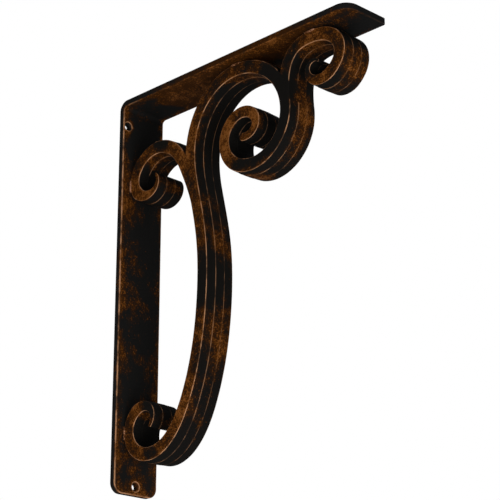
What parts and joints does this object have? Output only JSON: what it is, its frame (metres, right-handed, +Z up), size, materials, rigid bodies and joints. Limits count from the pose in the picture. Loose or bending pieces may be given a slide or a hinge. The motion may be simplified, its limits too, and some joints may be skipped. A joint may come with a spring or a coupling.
{
  "type": "scroll shelf bracket",
  "caption": "L-shaped shelf bracket of flat metal strap, braced by a long scrolled bar with curled branches, for fixing to a wall under a shelf or counter.",
  "frame": {"origin": "on the strap's flat back face, at the middle of its width and half way up the wall leg", "axes": "+X out from the wall along the arm, +Z up the wall leg, Y across the strap's width"},
  "size_m": [0.3016, 0.0508, 0.3874],
  "materials": {
    "strap_finish": "near-black brown patina, satin, with the edges rubbed to thin copper-brown lines",
    "scroll_finish": "near-black brown patina, satin, mottled and rubbed to copper-brown on the sides and ridges"
  },
  "bodies": {
    "root": {"wall_and_arm_strap": "strap_finish", "main_scroll": "scroll_finish", "wall_side_scroll": "scroll_finish", "arm_side_scroll": "scroll_finish"}
  },
  "joints": []
}
